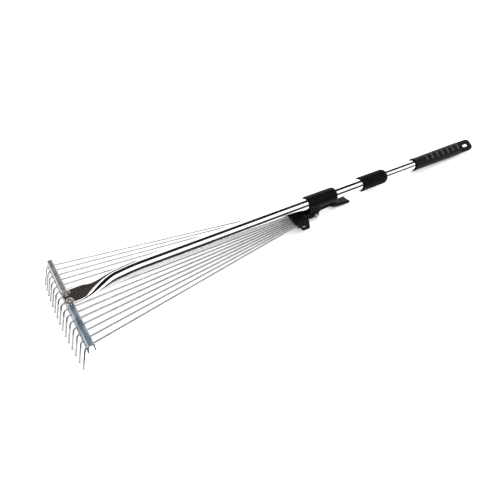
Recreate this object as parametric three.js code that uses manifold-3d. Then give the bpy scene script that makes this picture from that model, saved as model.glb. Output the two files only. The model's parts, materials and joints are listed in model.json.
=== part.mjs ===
// Adjustable fan rake. Fifteen wire tines hinge on a slider that clamps on a straight pole and
// fan out through the slots of a fixed crossbar; the pole telescopes and locks with a twist collar.
// Millimetres, +Z up. The rake lies at rest on its tine tips and the end of its grip.
//
// Every piece is first made in the fan's own frame: z = 0 is the plane of the straight wires,
// +X runs along the pole towards the grip, and x = 0 lies at the crossbar.

import * as THREE from "three";
import { mergeVertices } from "three/addons/utils/BufferGeometryUtils.js";
import Module from "manifold-3d";

const wasm = await Module();
wasm.setup();

// ---- driving dimensions ----------------------------------------------------------------------

const GAP = 0.3; // kept between pieces that touch
const OVERSHOOT = 1; // how far a cutter runs past the faces it opens
const ROOT = 0.5; // how far a rib reaches into the body that it grows from
const WELD = 1e-4; // vertices closer than this are one
const TUBE_SIDES = 40;
const HOLE_SIDES = 16;
const HEAD_SIDES = 20;

const TINE_COUNT = 15;
const MIDDLE_TINE = 8;
const TINE_PITCH = 12.7; // between neighbours, measured at the crossbar
const WIRE_R = 1.15;
const FAN_APEX_X = 489; // where the closed tines would meet
const PIVOT_X = 368; // row of tine pivots in the slider
const HOOK_CORNER_X = -16; // where the middle tine would turn down if its bend were sharp
const HOOK_ARC = 3.6; // how much further back the outermost hooks sit
const HOOK_FORWARD = 9.8; // lean of a hook
const HOOK_DROP = 31.5;
const HOOK_BEND_R = 6.3;
const PIVOT_BEND_R = 1.6;
const PIVOT_PIN_DROP = 3.9;
const WIRE_SIDES = 8;
const BEND_STEPS = 6;

const SLIDER_STROKE = 160; // travel of the slider towards the crossbar
const MATCH_FRACTION = 0.78; // share of the stroke where a tine is again centred in its slot

const BAR_HALF_LENGTH = 97;
const BAR_BACK_X = -1.6;
const BAR_FRONT_X = -9.6;
const BAR_TOP_Z = 6.2;
const BAR_FOOT_Z = -5.5;
const BAR_SPLAY = 2; // how far the front flange leans out at its lower edge
const BAR_WALL = 1.2;
const BAR_EDGE_R = 1.8;
const SLOT_SIDE_CLEARANCE = 0.35;
const SLOT_TOP_Z = 1.6;
const SLOT_BOTTOM_Z = -2.5;

const POLE_Z = 15.5; // height of the pole's axis over the wires
const MAIN_R = 10.4;
const MAIN_BORE_R = 9.7;
const MAIN_END_X = 556;
const MAIN_BORE_START_X = 104; // nearer the foot the bore narrows to a point
const MAIN_BORE_NECK = { x: 84, r: 4.4 };
const MAIN_BORE_TIP_X = 76;
const FOOT_START_X = -10.5;
const FOOT_FLAT_END_X = 5;
const FOOT_ROUND_X = 62; // from here the section is round
const FOOT_RISE_END_X = 100; // from here the tube runs on the pole's axis
const FOOT_HALF_WIDTH = 16.4;
const FOOT_HALF_THICKNESS = 0.85;
const FOOT_EDGE_RISE = 1.8; // how quickly the pad's edges reach its full thickness
const FOOT_RINGS = 17;

const RIVET_SPACING = 19;
const RIVET_SHANK_R = 1.8;
const RIVET_HOLE_R = 2.1;
const RIVET_TAIL_R = 2.5;
const RIVET_TAIL_HEIGHT = 1.2;
const RIVET_HEAD_R = 4.4;
const RIVET_RIM = 0.8;
const RIVET_DOME = 2.2;
const WASHER_R = 5.6;
const WASHER_THICKNESS = 0.8;

const UPPER_R = 9.35;
const UPPER_BORE_R = 8.65;
const UPPER_START_X = 125;
const UPPER_END_X = 750;
const BUSH_LIP = 4; // closed end of the bush, ahead of the tube
const BUSH_REACH = 14;
const BUSH_PLAY = 0.25;
const BUSH_CHAMFER = 0.7;
const BUSH_SIDES = 32;

const SLEEVE_START_X = 390;
const SLEEVE_END_X = 449.5;
const SLEEVE_R = 13;
const SLEEVE_BORE_R = MAIN_R + GAP;
const SLEEVE_ROUND_LENGTH = 3; // rounded end towards the grip
const SLEEVE_ROUND_DROP = 1.9;
const SLEEVE_FRONT_CHAMFER = 0.7;

const HOLDER_HALF_WIDTH = 43.5; // the near wing's reach, with the hole in its tip
const HOLDER_SHORT_HALF_WIDTH = 28; // the far wing, and the lower half's two wings
const HOLDER_FRONT_X = 359; // front edge on the centre line
const HOLDER_SWEEP = 0.172; // how far a wing tip reaches ahead of it, per millimetre of width
const HOLDER_WING_LENGTH = 14.5;
const HOLDER_NECK_HALF_WIDTH = 12.5;
const HOLDER_NECK_X = 386;
const HOLDER_END_X = 409;
const HOLDER_PLATE = 2;
const HOLDER_INNER_Z = WIRE_R + GAP; // each plate's face towards the wires
const HOLDER_CORNER_R = 3;
const RAIL_INSET = 1;
const RAIL_WIDTH = 1.6;
const RAIL_LENGTH = 6;
const BLOCK_HALF_WIDTH = 9; // spacer between the halves, and the gusset over it
const BLOCK_START_X = 373;
const BLOCK_END_X = 383;
const GUSSET_END_X = SLEEVE_START_X + 2;
const GUSSET_RISE = 0.8;
const PIVOT_PLAY = 0.14;
const PIVOT_HOLE_SIDES = 12;
const WING_HOLE_R = 3.6;
const WING_HOLE = { x: 359.5, y: -33.5 };
const HOLDER_SCREWS = [
  { name: "holder_screw_left", x: 378, y: 14.5 },
  { name: "holder_screw_right", x: 378, y: -14.5 },
];

const SCREW_HOLE_R = 1.9;
const SCREW_SHANK_R = 1.6;
const SCREW_HEAD_R = 3;
const SCREW_RIM = 0.5;
const SCREW_DOME = 1.1;
const SCREW_TAIL_R = 2.9;
const SCREW_TAIL_HEIGHT = 1.4;

const LEVER_PIN = { x: 401, z: -2.6 };
const LEVER_PIN_R = 2.2;
const PIN_CAP_R = 3.8;
const PIN_CAP_HEIGHT = 1.8;
const PIN_END_REACH = 4.6; // how far the pin shows past the near cheek
const NUT_R = 4.3;
const NUT_HEIGHT = 3.6;
const CHEEK_OUTER_Y = 12.5;
const CHEEK_INNER_Y = 8.3;
const CHEEK_END_X = LEVER_PIN.x + 9;
const CHEEK_FOOT_Z = LEVER_PIN.z - 4.2;
const CHEEK_TOP_Z = 11.5;
const WINDOW_START_X = LEVER_PIN.x - 8;
const WINDOW_END_X = LEVER_PIN.x + 10;
const WINDOW_TOP_Z = 9.5;
const CAM_R = 5.4;
const LEVER_TIP_X = 483;
const LEVER_TOP_Z = 1.9;
const LEVER_NECK_X = 421; // where the arm is thinnest
const LEVER_NOTCH_X = 437;
const PADDLE_START_X = 455;
const LEVER_NECK_Z = -3.3;
const LEVER_NOTCH_Z = -2.2;
const PADDLE_FOOT_Z = -6.2;
const PADDLE_TIP_Z = -7.4;
const LEVER_CAM_HALF_WIDTH = 7.6;
const LEVER_NECK_HALF_WIDTH = 6;
const PADDLE_HALF_WIDTH = 9;
const SHOE_HALF_WIDTH = 7.6;
const SHOE_PLAY = 0.6;
const SHOE_TOP_Z = 8.5;

const COLLAR_START_X = 510;
const COLLAR_END_X = 567;
const COLLAR_R = 13.1;
const COLLAR_FLUTES = 20;
const COLLAR_FRONT_CHAMFER = 0.8;
const COLLAR_ROUND_LENGTH = 5;
const COLLAR_ROUND_DROP = 2.4;
const COLLAR_LIP = 2.1;
const COLLAR_BORE_R = 11.8; // room for the collet
const FLUTE_WIDTH = 1.2;
const FLUTE_LIFT = 0.35;
const FLUTE_START_X = COLLAR_START_X + 5;
const FLUTE_END_X = COLLAR_END_X - 9;
const COLLET_START_X = 529;
const COLLET_R = 11.5;
const COLLET_REACH = 8.2; // how far its fingers reach past the main tube
const COLLET_CHAMFER = 1.2;
const COLLET_CHAMFER_DROP = 0.6;
const COLLET_SLIT = 1.2;
const COLLET_SLIT_START = 2;
const COLLET_SIDES = 36;

const GRIP_START_X = 643;
const GRIP_BODY_END_X = 764;
const GRIP_TIP_X = 811;
const GRIP_START_R = 11.5;
const GRIP_END_R = 12.3;
const GRIP_ROLL = THREE.MathUtils.degToRad(35); // the tab's face turns this far towards -Y
const GRIP_RIBS = 7;
const GRIP_RIB_PITCH = 14.4;
const GRIP_FIRST_RIB_X = 673;
const GRIP_RIB_HALF_LENGTH = 1.5; // along the pole
const GRIP_RIB_HALF_WIDTH = 5.5; // round the grip
const GRIP_RIB_HEIGHT = 0.5;
const GRIP_LIP = 0.5;
const GRIP_LIP_RISE_X = 1.2;
const GRIP_LIP_END_X = 4;
const GRIP_LIP_FALL_X = 6;
const GRIP_END_ROUND_X = 3;
const GRIP_END_ROUND_R = 2;
const GRIP_SIDES = 32;
const TAB_ROOT = 8; // how far the tab's shape runs into the body
const TAB_TAPER = 10; // length over which the body thins to the tab
const TAB_HALF_WIDTH = 11.7;
const TAB_HALF_THICKNESS = 2.2;
const TAB_SHOULDER = 1.6;
const TAB_TAPER_R = 3;
const TAB_EDGE_R = 1;
const HANG_SLOT = { x: 794, length: 16.5, width: 6 };
const SLOT_CORNER_R = 2.7;

// ---- materials -------------------------------------------------------------------------------

const material = (color, roughness, metalness) =>
  new THREE.MeshStandardMaterial({ color, roughness, metalness });

const chrome = () => material(0xd8d8da, 0.08, 1);
const zincSheet = () => material(0xb9bec4, 0.38, 1);
const springWire = () => material(0xb4b5b8, 0.3, 1);
const nickel = () => material(0xc9c4bc, 0.2, 1);
const blackOxide = () => material(0x1a1a1c, 0.35, 0.8);
const blackPlastic = () => material(0x141416, 0.42, 0);
const blackGrip = () => material(0x101012, 0.62, 0);
const whitePlastic = () => material(0xd9d9d4, 0.5, 0);

// ---- solids ----------------------------------------------------------------------------------

function solid(geometry) {
  const bare = geometry.index ? geometry.toNonIndexed() : geometry.clone();
  bare.deleteAttribute("normal");
  bare.deleteAttribute("uv");
  const merged = mergeVertices(bare, WELD);
  const mesh = new wasm.Mesh({
    numProp: 3,
    vertProperties: new Float32Array(merged.attributes.position.array),
    triVerts: new Uint32Array(merged.index.array),
  });
  return new wasm.Manifold(mesh);
}

function surface(manifold) {
  const mesh = manifold.getMesh();
  const geometry = new THREE.BufferGeometry();
  geometry.setAttribute("position", new THREE.BufferAttribute(mesh.vertProperties, 3));
  geometry.setIndex(new THREE.BufferAttribute(mesh.triVerts, 1));
  geometry.computeVertexNormals();
  return geometry;
}

function piece(name, manifold, look) {
  const mesh = new THREE.Mesh(surface(manifold), look);
  mesh.name = name;
  return mesh;
}

function block(x0, x1, y0, y1, z0, z1) {
  const box = new THREE.BoxGeometry(x1 - x0, y1 - y0, z1 - z0);
  box.translate((x0 + x1) / 2, (y0 + y1) / 2, (z0 + z1) / 2);
  return solid(box);
}

// Quarter round from [x, r] to [x + length, r - drop], as profile points.
function roundOff(x, r, length, drop, steps = 4) {
  return Array.from({ length: steps + 1 }, (_, i) => {
    const angle = (Math.PI / 2) * (i / steps);
    return [x + length * Math.sin(angle), r - drop * (1 - Math.cos(angle))];
  });
}

// Dome from its rim at height z to its top on the axis, as profile points.
function dome(radius, z, height, steps = 4) {
  return Array.from({ length: steps + 1 }, (_, i) => {
    const angle = (Math.PI / 2) * (i / steps);
    return [i === steps ? 0 : radius * Math.cos(angle), z + height * Math.sin(angle)];
  });
}

// Closed ring or plug about the X axis at height z: profile is a list of [x, radius].
function turned(profile, z, sides = TUBE_SIDES) {
  const points = profile.map(([x, r]) => new THREE.Vector2(r, x));
  const first = profile[0];
  const last = profile[profile.length - 1];
  if (first[1] > 0 || last[1] > 0) points.push(points[0].clone());
  const lathe = new THREE.LatheGeometry(points, sides);
  lathe.rotateZ(-Math.PI / 2);
  lathe.rotateX(Math.PI / sides);
  lathe.translate(0, 0, z);
  return outward(lathe);
}

// Closed ring or plug about a vertical axis at (x, y): profile is a list of [radius, z].
function upright(profile, x, y, sides) {
  const points = profile.map(([r, z]) => new THREE.Vector2(r, z));
  const open = profile[0][0] > 0 || profile[profile.length - 1][0] > 0;
  if (open) points.push(points[0].clone());
  const lathe = new THREE.LatheGeometry(points, sides);
  lathe.rotateX(Math.PI / 2);
  lathe.translate(x, y, 0);
  return outward(lathe);
}

// Cylinder about an axis along Y, from y0 to y1.
function crosswise(radius, x, z, y0, y1, sides = HOLE_SIDES) {
  const cylinder = new THREE.CylinderGeometry(radius, radius, y1 - y0, sides);
  cylinder.translate(x, (y0 + y1) / 2, z);
  return solid(cylinder);
}

// A lathe's faces point in or out with the sense of its profile; this gives the solid either way.
function outward(geometry) {
  const body = solid(geometry);
  return body.volume() > 0 ? body : solid(flipped(geometry));
}

function flipped(geometry) {
  const copy = geometry.toNonIndexed();
  const position = copy.attributes.position;
  const a = new THREE.Vector3();
  const b = new THREE.Vector3();
  for (let i = 0; i < position.count; i += 3) {
    a.fromBufferAttribute(position, i);
    b.fromBufferAttribute(position, i + 1);
    position.setXYZ(i, b.x, b.y, b.z);
    position.setXYZ(i + 1, a.x, a.y, a.z);
  }
  return copy;
}

// Round cutter about a vertical axis, past both heights.
function drill(radius, x, y, z0, z1, sides = HOLE_SIDES) {
  const low = z0 - OVERSHOOT;
  const high = z1 + OVERSHOOT;
  return upright([[0, low], [radius, low], [radius, high], [0, high]], x, y, sides);
}

// Round cutter about the pole's axis, from x0 to x1.
function poleBore(radius, x0, x1) {
  return turned([[x0, 0], [x0, radius], [x1, radius], [x1, 0]], POLE_Z);
}

// Flat plate cut from an outline in the XY plane, between two heights.
function plate(outline, z0, z1, curveSegments = 8) {
  const depth = z1 - z0;
  const sheet = new THREE.ExtrudeGeometry(outline, { depth, bevelEnabled: false, curveSegments });
  sheet.translate(0, 0, z0);
  return solid(sheet);
}

// Outline with rounded corners: each corner is [x, y, radius].
function roundedOutline(corners) {
  const shape = new THREE.Shape();
  const n = corners.length;
  corners.forEach(([x, y, radius], i) => {
    const here = new THREE.Vector2(x, y);
    const [xBefore, yBefore] = corners[(i + n - 1) % n];
    const [xAfter, yAfter] = corners[(i + 1) % n];
    const before = new THREE.Vector2(xBefore, yBefore).sub(here).normalize();
    const after = new THREE.Vector2(xAfter, yAfter).sub(here).normalize();
    const half = Math.acos(THREE.MathUtils.clamp(before.dot(after), -1, 1)) / 2;
    const reach = radius / Math.tan(half);
    const start = here.clone().addScaledVector(before, reach);
    const end = here.clone().addScaledVector(after, reach);
    if (i === 0) shape.moveTo(start.x, start.y);
    else shape.lineTo(start.x, start.y);
    if (radius > 0) shape.quadraticCurveTo(x, y, end.x, end.y);
  });
  shape.closePath();
  return shape;
}

// ---- wires -----------------------------------------------------------------------------------

// A path with its own stations: few on straight runs, several round each bend.
class StationPath extends THREE.Curve {
  constructor(stations) {
    super();
    this.stations = stations;
  }

  station(u) {
    return this.stations[Math.round(u * (this.stations.length - 1))];
  }

  getPointAt(u) {
    return this.station(u).point.clone();
  }

  getTangentAt(u) {
    return this.station(u).tangent.clone();
  }
}

// Stations along straight runs between corners, with each inner corner rounded to its radius.
function bentPath(corners, radii, stepsPerBend) {
  const stations = [];
  const add = (point, tangent) => stations.push({ point, tangent: tangent.clone() });
  const way = (i) => corners[i + 1].clone().sub(corners[i]).normalize();
  add(corners[0].clone(), way(0));
  for (let i = 1; i < corners.length - 1; i += 1) {
    const into = way(i - 1);
    const out = way(i);
    const turn = into.angleTo(out);
    const reach = radii[i - 1] * Math.tan(turn / 2);
    const start = corners[i].clone().addScaledVector(into, -reach);
    const side = out.clone().addScaledVector(into, -out.dot(into)).normalize();
    for (let k = 0; k <= stepsPerBend; k += 1) {
      const angle = (turn * k) / stepsPerBend;
      const point = start
        .clone()
        .addScaledVector(into, radii[i - 1] * Math.sin(angle))
        .addScaledVector(side, radii[i - 1] * (1 - Math.cos(angle)));
      const tangent = into.clone().multiplyScalar(Math.cos(angle));
      add(point, tangent.addScaledVector(side, Math.sin(angle)));
    }
  }
  add(corners[corners.length - 1].clone(), way(corners.length - 2));
  return new StationPath(stations);
}

function wire(path, radius, sides) {
  const section = new THREE.Shape();
  for (let i = 0; i < sides; i += 1) {
    const angle = ((i + 0.5) / sides) * 2 * Math.PI;
    const x = radius * Math.cos(angle);
    const y = radius * Math.sin(angle);
    if (i === 0) section.moveTo(x, y);
    else section.lineTo(x, y);
  }
  section.closePath();
  const steps = path.stations.length - 1;
  return solid(new THREE.ExtrudeGeometry(section, { steps, bevelEnabled: false, extrudePath: path }));
}

// ---- the fan's geometry ----------------------------------------------------------------------

const tineNumbers = Array.from({ length: TINE_COUNT }, (_, i) => i + 1);
const barY = (tine) => (MIDDLE_TINE - tine) * TINE_PITCH;
const pivotY = (tine) => (barY(tine) * (FAN_APEX_X - PIVOT_X)) / FAN_APEX_X;
const closedAngle = (tine) => Math.atan(barY(tine) / FAN_APEX_X);

// Radians of tine swing per millimetre of slider travel.
function fanRate(tine) {
  const matched = MATCH_FRACTION * SLIDER_STROKE;
  const sideways = barY(tine) - pivotY(tine);
  return (Math.atan(sideways / (PIVOT_X - matched)) - closedAngle(tine)) / matched;
}

// Where a wire's centre line crosses the plane x = planeX with the slider moved by travel.
function crossingY(tine, planeX, travel) {
  const angle = closedAngle(tine) + fanRate(tine) * travel;
  return pivotY(tine) + (PIVOT_X - travel - planeX) * Math.tan(angle);
}

// Least and greatest y that a wire fills at a flange over the whole stroke.
function slotSpan(tine, planes) {
  const steps = 16;
  const ys = [];
  for (let i = 0; i <= steps; i += 1) {
    planes.forEach((x) => ys.push(crossingY(tine, x, (SLIDER_STROKE * i) / steps)));
  }
  const widest = closedAngle(tine) + fanRate(tine) * SLIDER_STROKE;
  const margin = WIRE_R / Math.cos(widest) + SLOT_SIDE_CLEARANCE;
  return [Math.min(...ys) - margin, Math.max(...ys) + margin];
}

function makeTine(tine) {
  const angle = closedAngle(tine);
  const along = new THREE.Vector3(-Math.cos(angle), Math.sin(angle), 0);
  const pivot = new THREE.Vector3(PIVOT_X, pivotY(tine), 0);
  const place = (s, z) => pivot.clone().addScaledVector(along, s).setZ(z);
  const setBack = HOOK_ARC * (barY(tine) / barY(1)) ** 2;
  const hookS = (PIVOT_X - HOOK_CORNER_X - setBack) / Math.cos(angle);
  const corners = [
    place(0, -PIVOT_PIN_DROP),
    place(0, 0),
    place(hookS, 0),
    place(hookS + HOOK_FORWARD, -HOOK_DROP),
  ];
  const path = bentPath(corners, [PIVOT_BEND_R, HOOK_BEND_R], BEND_STEPS);
  const number = String(tine).padStart(2, "0");
  return piece(`tine_${number}`, wire(path, WIRE_R, WIRE_SIDES), springWire());
}

// ---- crossbar --------------------------------------------------------------------------------

function barSection() {
  const frontFootX = BAR_FRONT_X - BAR_SPLAY;
  const outer = BAR_EDGE_R;
  const inner = outer - BAR_WALL;
  return roundedOutline([
    [frontFootX, BAR_FOOT_Z, 0],
    [frontFootX + BAR_WALL, BAR_FOOT_Z, 0],
    [BAR_FRONT_X + BAR_WALL, BAR_TOP_Z - BAR_WALL, inner],
    [BAR_BACK_X - BAR_WALL, BAR_TOP_Z - BAR_WALL, inner],
    [BAR_BACK_X - BAR_WALL, BAR_FOOT_Z, 0],
    [BAR_BACK_X, BAR_FOOT_Z, 0],
    [BAR_BACK_X, BAR_TOP_Z, outer],
    [BAR_FRONT_X, BAR_TOP_Z, outer],
  ]);
}

const rivetYs = [RIVET_SPACING / 2, -RIVET_SPACING / 2];
const rivetX = (BAR_BACK_X + BAR_FRONT_X) / 2;

function makeCrossbar() {
  const length = 2 * BAR_HALF_LENGTH;
  const options = { depth: length, bevelEnabled: false, curveSegments: 3 };
  const channel = new THREE.ExtrudeGeometry(barSection(), options);
  channel.rotateX(Math.PI / 2);
  channel.translate(0, BAR_HALF_LENGTH, 0);
  let bar = solid(channel);
  const frontReach = BAR_FRONT_X - BAR_SPLAY - OVERSHOOT;
  const backReach = BAR_BACK_X + OVERSHOOT;
  tineNumbers.forEach((tine) => {
    const [backLow, backHigh] = slotSpan(tine, [BAR_BACK_X, BAR_BACK_X - BAR_WALL]);
    const [frontLow, frontHigh] = slotSpan(tine, [BAR_FRONT_X + BAR_WALL, BAR_FRONT_X - BAR_SPLAY]);
    bar = bar.subtract(block(rivetX, backReach, backLow, backHigh, SLOT_BOTTOM_Z, SLOT_TOP_Z));
    bar = bar.subtract(block(frontReach, rivetX, frontLow, frontHigh, SLOT_BOTTOM_Z, SLOT_TOP_Z));
  });
  rivetYs.forEach((y) => {
    bar = bar.subtract(drill(RIVET_HOLE_R, rivetX, y, BAR_TOP_Z - BAR_WALL, BAR_TOP_Z));
  });
  return piece("crossbar", bar, zincSheet());
}

// ---- main tube with its flattened foot -------------------------------------------------------

const padCentreZ = BAR_TOP_Z + GAP + FOOT_HALF_THICKNESS;
const padTopZ = padCentreZ + FOOT_HALF_THICKNESS;

function makeMainTube() {
  const rings = FOOT_RINGS;
  const body = new THREE.CylinderGeometry(1, 1, 1, TUBE_SIDES, rings);
  const position = body.attributes.position;
  const mix = THREE.MathUtils.lerp;
  for (let i = 0; i < position.count; i += 1) {
    const u = position.getY(i) + 0.5;
    const ring = Math.round(u * rings);
    const x = ring === rings ? MAIN_END_X : ringX(ring, rings - 1);
    const round = THREE.MathUtils.smoothstep(x, FOOT_FLAT_END_X, FOOT_ROUND_X);
    const c = position.getX(i);
    const s = position.getZ(i);
    const flatS = THREE.MathUtils.clamp(FOOT_EDGE_RISE * s, -1, 1);
    const y = c * mix(FOOT_HALF_WIDTH, MAIN_R, round);
    const risen = THREE.MathUtils.smoothstep(x, FOOT_FLAT_END_X, FOOT_RISE_END_X);
    const centreZ = mix(padCentreZ, POLE_Z, risen);
    position.setXYZ(i, x, y, centreZ + mix(FOOT_HALF_THICKNESS * flatS, MAIN_R * s, round));
  }
  const bore = turned(
    [
      [MAIN_BORE_TIP_X, 0],
      [MAIN_BORE_NECK.x, MAIN_BORE_NECK.r],
      [MAIN_BORE_START_X, MAIN_BORE_R],
      [MAIN_END_X + OVERSHOOT, MAIN_BORE_R],
      [MAIN_END_X + OVERSHOOT, 0],
    ],
    POLE_Z,
  );
  let tube = outward(body).subtract(bore);
  rivetYs.forEach((y) => {
    tube = tube.subtract(drill(RIVET_HOLE_R, rivetX, y, BAR_TOP_Z, padTopZ));
  });
  return piece("main_tube", tube, chrome());
}

// The foot's rings: one at the pad's end, the rest spread over the change from flat to round.
function ringX(ring, last) {
  if (ring === 0) return FOOT_START_X;
  return FOOT_FLAT_END_X + ((FOOT_RISE_END_X - FOOT_FLAT_END_X) * (ring - 1)) / (last - 1);
}

function makeRivets() {
  const washerTop = padTopZ + GAP + WASHER_THICKNESS;
  const headBase = washerTop + GAP / 2;
  const tailTop = BAR_TOP_Z - BAR_WALL - GAP;
  const tailFoot = tailTop - RIVET_TAIL_HEIGHT;
  return rivetYs.flatMap((y, i) => {
    const side = i === 0 ? "left" : "right";
    const rivet = upright(
      [
        [0, tailFoot],
        [RIVET_TAIL_R, tailFoot],
        [RIVET_TAIL_R, tailTop],
        [RIVET_SHANK_R, tailTop],
        [RIVET_SHANK_R, headBase],
        [RIVET_HEAD_R, headBase],
        ...dome(RIVET_HEAD_R, headBase + RIVET_RIM, RIVET_DOME),
      ],
      rivetX,
      y,
      HEAD_SIDES,
    );
    const washer = upright(
      [
        [RIVET_HOLE_R, padTopZ + GAP],
        [WASHER_R, padTopZ + GAP],
        [WASHER_R, washerTop],
        [RIVET_HOLE_R, washerTop],
      ],
      rivetX,
      y,
      HEAD_SIDES,
    );
    return [piece(`foot_rivet_${side}`, rivet, nickel()), piece(`foot_washer_${side}`, washer, nickel())];
  });
}

// ---- slider ----------------------------------------------------------------------------------

// Plan of the tine holder: swept wings of two widths, then the corners in back, which are mirrored.
function holderOutline(farWidth, nearWidth, back) {
  const r = HOLDER_CORNER_R;
  const wing = (width, side) => {
    const tipX = HOLDER_FRONT_X - HOLDER_SWEEP * width;
    return [[tipX, side * width, r], [tipX + HOLDER_WING_LENGTH, side * width, r]];
  };
  return roundedOutline([
    [HOLDER_FRONT_X, 0, 0],
    ...wing(nearWidth, -1),
    ...back.map(([x, y]) => [x, -y, r]),
    ...back.toReversed().map(([x, y]) => [x, y, r]),
    ...wing(farWidth, 1).toReversed(),
  ]);
}

function cutScrewHoles(body, z0, z1) {
  return HOLDER_SCREWS.reduce((cut, { x, y }) => cut.subtract(drill(SCREW_HOLE_R, x, y, z0, z1)), body);
}

// Upper half of the tine holder, in one piece with the sleeve and its cheeks.
function makeSliderBody() {
  const topZ = HOLDER_INNER_Z + HOLDER_PLATE;
  const neck = [HOLDER_NECK_X, HOLDER_NECK_HALF_WIDTH];
  const back = [neck, [HOLDER_END_X, HOLDER_NECK_HALF_WIDTH]];
  const outline = holderOutline(HOLDER_SHORT_HALF_WIDTH, HOLDER_HALF_WIDTH, back);
  const chamfer = SLEEVE_FRONT_CHAMFER;
  const sleeve = turned(
    [
      [SLEEVE_START_X, SLEEVE_BORE_R],
      [SLEEVE_START_X, SLEEVE_R - chamfer],
      [SLEEVE_START_X + chamfer, SLEEVE_R],
      ...roundOff(SLEEVE_END_X - SLEEVE_ROUND_LENGTH, SLEEVE_R, SLEEVE_ROUND_LENGTH, SLEEVE_ROUND_DROP),
      [SLEEVE_END_X, SLEEVE_BORE_R],
    ],
    POLE_Z,
  );
  let body = sleeve.add(plate(outline, HOLDER_INNER_Z, topZ));
  // cheeks that hold the lever's pin
  [[-CHEEK_OUTER_Y, -CHEEK_INNER_Y], [CHEEK_INNER_Y, CHEEK_OUTER_Y]].forEach(([y0, y1]) => {
    body = body.add(block(SLEEVE_START_X, CHEEK_END_X, y0, y1, CHEEK_FOOT_Z, CHEEK_TOP_Z));
  });
  // gusset between the wings and the sleeve's front end, under the tube
  const half = BLOCK_HALF_WIDTH;
  body = body.add(block(BLOCK_START_X, GUSSET_END_X, -half, half, HOLDER_INNER_Z, topZ + GUSSET_RISE));
  body = body.subtract(poleBore(SLEEVE_BORE_R, BLOCK_START_X - OVERSHOOT, SLEEVE_END_X + OVERSHOOT));
  // window for the lever's cam and shoe
  const inner = CHEEK_INNER_Y;
  const windowFootZ = CHEEK_FOOT_Z - OVERSHOOT;
  body = body.subtract(block(WINDOW_START_X, WINDOW_END_X, -inner, inner, windowFootZ, WINDOW_TOP_Z));
  const pinReach = CHEEK_OUTER_Y + OVERSHOOT;
  body = body.subtract(crosswise(LEVER_PIN_R + GAP, LEVER_PIN.x, LEVER_PIN.z, -pinReach, pinReach));
  body = cutScrewHoles(body, HOLDER_INNER_Z, topZ + GUSSET_RISE);
  body = body.subtract(drill(WING_HOLE_R, WING_HOLE.x, WING_HOLE.y, HOLDER_INNER_Z, topZ, HEAD_SIDES));
  return piece("slider_body", body, blackPlastic());
}

function makeHolderPlate() {
  const topZ = -HOLDER_INNER_Z;
  const footZ = topZ - HOLDER_PLATE;
  const ribTopZ = HOLDER_INNER_Z - GAP;
  const w = HOLDER_SHORT_HALF_WIDTH;
  let body = plate(holderOutline(w, w, [[HOLDER_NECK_X, HOLDER_NECK_HALF_WIDTH]]), footZ, topZ);
  // rails that carry the upper half, outside the tines' sweep
  const tipX = HOLDER_FRONT_X - HOLDER_SWEEP * w;
  const railStart = tipX + HOLDER_WING_LENGTH - RAIL_LENGTH;
  const railEnd = tipX + HOLDER_WING_LENGTH - RAIL_INSET;
  const railOuter = w - RAIL_INSET;
  const railInner = railOuter - RAIL_WIDTH;
  [[-railOuter, -railInner], [railInner, railOuter]].forEach(([y0, y1]) => {
    body = body.add(block(railStart, railEnd, y0, y1, topZ - ROOT, ribTopZ));
  });
  const half = BLOCK_HALF_WIDTH;
  body = body.add(block(BLOCK_START_X, BLOCK_END_X, -half, half, topZ - ROOT, ribTopZ));
  body = cutScrewHoles(body, footZ, ribTopZ);
  const pivotR = WIRE_R / Math.cos(Math.PI / WIRE_SIDES) + PIVOT_PLAY;
  tineNumbers.forEach((tine) => {
    body = body.subtract(drill(pivotR, PIVOT_X, pivotY(tine), footZ, topZ, PIVOT_HOLE_SIDES));
  });
  return piece("tine_holder_plate", body, blackPlastic());
}

function makeHolderScrews() {
  const top = HOLDER_INNER_Z + HOLDER_PLATE + GAP;
  const bottom = -HOLDER_INNER_Z - HOLDER_PLATE - GAP;
  return HOLDER_SCREWS.map(({ name, x, y }) => {
    const screw = upright(
      [
        [0, bottom - SCREW_TAIL_HEIGHT],
        [SCREW_TAIL_R, bottom - SCREW_TAIL_HEIGHT],
        [SCREW_TAIL_R, bottom],
        [SCREW_SHANK_R, bottom],
        [SCREW_SHANK_R, top],
        [SCREW_HEAD_R, top],
        ...dome(SCREW_HEAD_R, top + SCREW_RIM, SCREW_DOME),
      ],
      x,
      y,
      HOLE_SIDES,
    );
    return piece(name, screw, blackOxide());
  });
}

function makeLeverPin() {
  const { x, z } = LEVER_PIN;
  const head = CHEEK_OUTER_Y + GAP;
  const pin = crosswise(LEVER_PIN_R, x, z, -head - PIN_END_REACH, head + ROOT);
  const cap = crosswise(PIN_CAP_R, x, z, head, head + PIN_CAP_HEIGHT, HEAD_SIDES);
  return piece("lever_pin", pin.add(cap), nickel());
}

function makeLeverNut() {
  const { x, z } = LEVER_PIN;
  const face = -CHEEK_OUTER_Y - GAP;
  const nut = crosswise(NUT_R, x, z, face - NUT_HEIGHT, face, 6);
  const hole = crosswise(LEVER_PIN_R + GAP, x, z, face - NUT_HEIGHT - OVERSHOOT, face + OVERSHOOT);
  return piece("lever_nut", nut.subtract(hole), nickel());
}

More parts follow.
